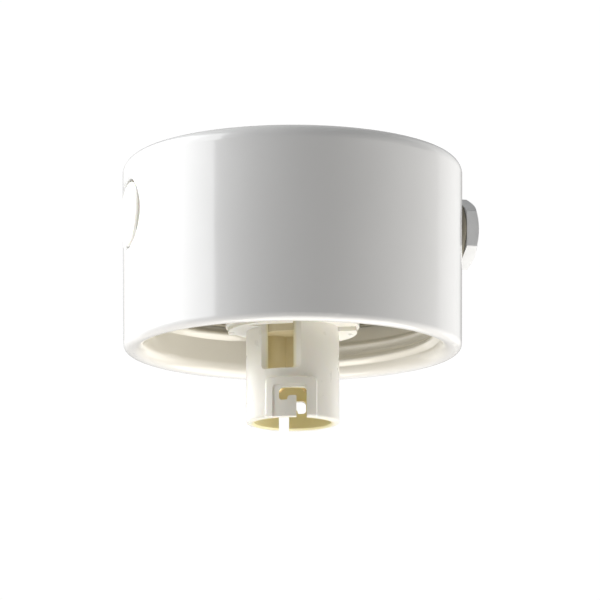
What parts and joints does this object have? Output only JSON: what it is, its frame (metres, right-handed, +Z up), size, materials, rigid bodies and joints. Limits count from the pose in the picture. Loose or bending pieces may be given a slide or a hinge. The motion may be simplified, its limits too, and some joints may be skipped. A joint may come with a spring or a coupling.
{
  "type": "lamp_holder",
  "caption": "Round white glazed porcelain ceiling lamp base, open below, with a cream bayonet lampholder tube, a coarse round glass thread and two plugged side entries",
  "frame": {"origin": "centre of the ceiling face at the top of the porcelain body", "axes": "+Z up into the ceiling along the body's axis, +X toward the hexagon headed plug"},
  "size_m": [0.1061, 0.1014, 0.0788],
  "materials": {
    "glazed_porcelain": "gloss",
    "cream_plastic": "satin",
    "insert_plastic": "matt",
    "plug_plastic": "satin",
    "brass": "satin",
    "zinc_steel": "satin",
    "spring_steel": "satin",
    "grey_rubber": "matt"
  },
  "bodies": {
    "base": {"porcelain_body": "glazed_porcelain", "glass_seal": "grey_rubber", "boss_inserts": "brass", "hex_plug": "plug_plastic", "hex_plug_seal": "grey_rubber", "flush_plug": "cream_plastic", "flush_plug_seal": "grey_rubber", "holder_housing": "cream_plastic", "contact_block": "insert_plastic", "plunger_spring_a": "spring_steel", "plunger_spring_b": "spring_steel", "terminal_a": "brass", "terminal_b": "brass", "terminal_screws_a": "zinc_steel", "terminal_screws_b": "zinc_steel", "terminal_cover": "cream_plastic", "cover_screw": "zinc_steel", "holder_bridge": "zinc_steel", "bridge_washers": "zinc_steel", "bridge_screws": "zinc_steel", "holder_screws": "zinc_steel", "earth_clamp": "zinc_steel", "earth_screw": "brass"},
    "plunger_a": {"plunger_a": "brass"},
    "plunger_b": {"plunger_b": "brass"}
  },
  "joints": [
    {"name": "plunger_a_slide", "type": "slide", "parent": "base", "child": "plunger_a", "axis": [0, 0, 1], "range_m": [0, 0.0044], "stiffness_N_per_m": 800, "springref_m": -0.003, "deforming": ["plunger_spring_a"]},
    {"name": "plunger_b_slide", "type": "slide", "parent": "base", "child": "plunger_b", "axis": [0, 0, 1], "range_m": [0, 0.0044], "stiffness_N_per_m": 800, "springref_m": -0.003, "deforming": ["plunger_spring_b"]}
  ]
}
